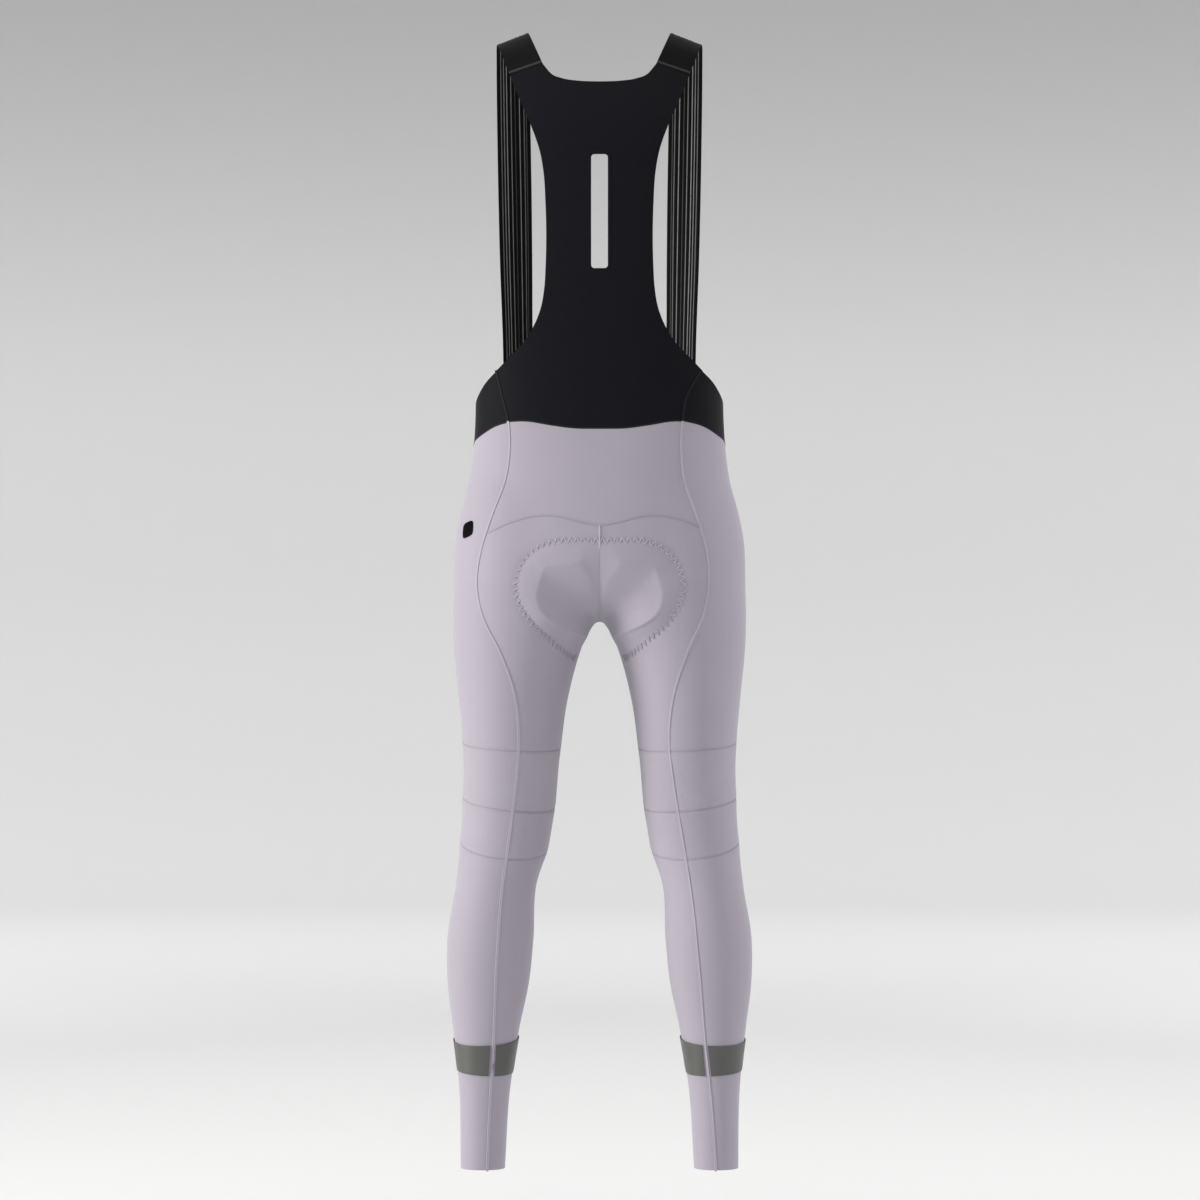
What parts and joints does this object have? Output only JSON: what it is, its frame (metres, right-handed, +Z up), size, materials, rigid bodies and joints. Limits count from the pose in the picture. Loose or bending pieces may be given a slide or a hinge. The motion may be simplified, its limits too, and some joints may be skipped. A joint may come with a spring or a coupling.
{
  "type": "cycling bib tights",
  "caption": "Long winter cycling tights with a bib back, ribbed elastic shoulder straps, a padded seat and reflective ankle bands, filled out as they are worn",
  "frame": {"origin": "midway between the two shoulder straps, at the height where they cross the wearer's shoulders", "axes": "+Z up along the wearer, +Y to the wearer's back, +X to the wearer's left"},
  "size_m": [0.368, 0.2156, 1.3699],
  "materials": {
    "lilac_knit": "smooth matt stretch knit",
    "textured_knit": "matt knit with a fine waffle texture",
    "black_knit": "matt stretch knit",
    "black_elastic": "ribbed elastic",
    "reflective_film": "grey reflective print",
    "pad_foam": "brushed foam cover",
    "label": "smooth label"
  },
  "bodies": {
    "root": {"bib_back": "black_knit", "front_waist": "black_knit", "strap_left": "black_elastic", "strap_right": "black_elastic", "lower_back": "lilac_knit", "seat_left": "lilac_knit", "seat_right": "lilac_knit", "thigh_left": "lilac_knit", "thigh_right": "lilac_knit", "knee_upper_left": "textured_knit", "knee_upper_right": "textured_knit", "knee_lower_left": "lilac_knit", "knee_lower_right": "lilac_knit", "lower_leg_left": "lilac_knit", "lower_leg_right": "lilac_knit", "ankle_band_left": "reflective_film", "ankle_band_right": "reflective_film", "seat_pad": "pad_foam", "hip_label": "label"}
  },
  "joints": []
}
